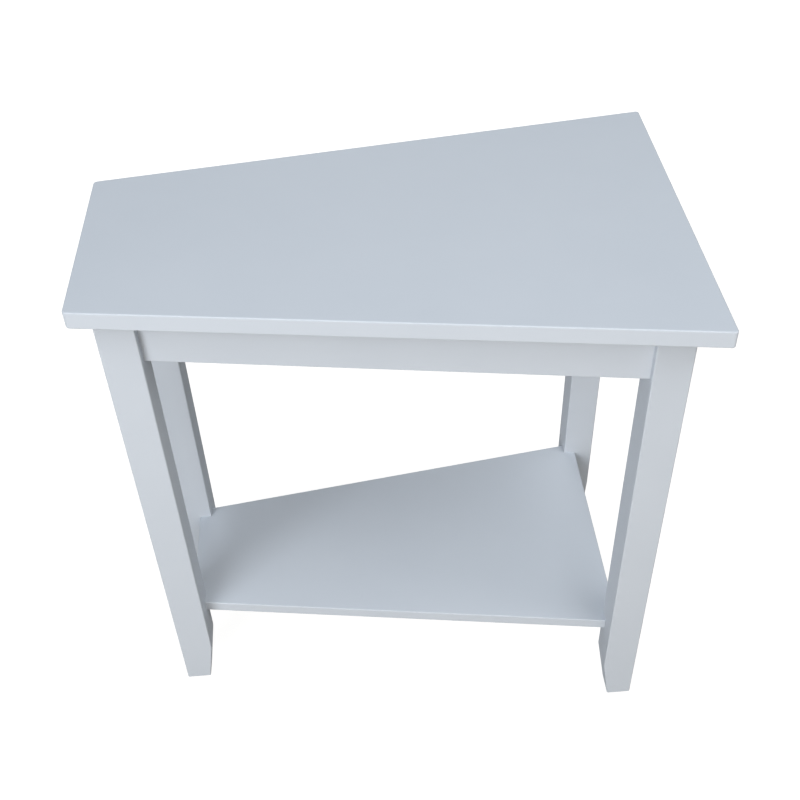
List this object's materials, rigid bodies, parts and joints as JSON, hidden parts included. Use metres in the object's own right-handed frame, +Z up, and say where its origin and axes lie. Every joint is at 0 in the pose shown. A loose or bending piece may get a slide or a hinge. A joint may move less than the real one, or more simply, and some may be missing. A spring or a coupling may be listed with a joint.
{
  "type": "corner table",
  "caption": "Wedge-shaped corner table on square legs with short foot tapers, with an apron all round and a lower shelf of the same wedge shape. It stands on the floor and carries things.",
  "frame": {"origin": "on the floor, under the middle of the table top's length and on its line of symmetry", "axes": "+Z up. +X along the table towards its wide end, -X towards its narrow end. +Y towards one slanted long side; the two long sides mirror each other across Y = 0"},
  "size_m": [0.61, 0.4088, 0.61],
  "materials": {
    "satin_paint": "solid wood under pale cool white satin paint",
    "bare_wood": "unpainted pale hardwood, sanded",
    "zinc_steel": "bright zinc plating",
    "glide_plastic": "off-white moulded nylon"
  },
  "bodies": {
    "root": {"table_top": "satin_paint", "lower_shelf": "satin_paint", "apron_front": "satin_paint", "apron_back": "satin_paint", "apron_narrow_end": "satin_paint", "apron_wide_end": "satin_paint", "leg_narrow_front": "satin_paint", "leg_narrow_back": "satin_paint", "leg_wide_front": "satin_paint", "leg_wide_back": "satin_paint", "corner_block_narrow_front": "bare_wood", "corner_block_narrow_back": "bare_wood", "corner_block_wide_front": "bare_wood", "corner_block_wide_back": "bare_wood", "hanger_bolt_narrow_front": "zinc_steel", "hanger_bolt_narrow_back": "zinc_steel", "hanger_bolt_wide_front": "zinc_steel", "hanger_bolt_wide_back": "zinc_steel", "hanger_washer_narrow_front": "zinc_steel", "hanger_washer_narrow_back": "zinc_steel", "hanger_washer_wide_front": "zinc_steel", "hanger_washer_wide_back": "zinc_steel", "hanger_nut_narrow_front": "zinc_steel", "hanger_nut_narrow_back": "zinc_steel", "hanger_nut_wide_front": "zinc_steel", "hanger_nut_wide_back": "zinc_steel", "block_screw_narrow_front_side": "zinc_steel", "block_screw_narrow_front_end": "zinc_steel", "block_screw_narrow_back_side": "zinc_steel", "block_screw_narrow_back_end": "zinc_steel", "block_screw_wide_front_side": "zinc_steel", "block_screw_wide_front_end": "zinc_steel", "block_screw_wide_back_side": "zinc_steel", "block_screw_wide_back_end": "zinc_steel", "top_screw_narrow_front": "zinc_steel", "top_screw_narrow_back": "zinc_steel", "top_screw_wide_front": "zinc_steel", "top_screw_wide_back": "zinc_steel", "pocket_screw_front_narrow": "zinc_steel", "pocket_screw_front_wide": "zinc_steel", "pocket_screw_back_narrow": "zinc_steel", "pocket_screw_back_wide": "zinc_steel", "foot_glide_narrow_front": "glide_plastic", "foot_glide_narrow_back": "glide_plastic", "foot_glide_wide_front": "glide_plastic", "foot_glide_wide_back": "glide_plastic"}
  },
  "joints": []
}
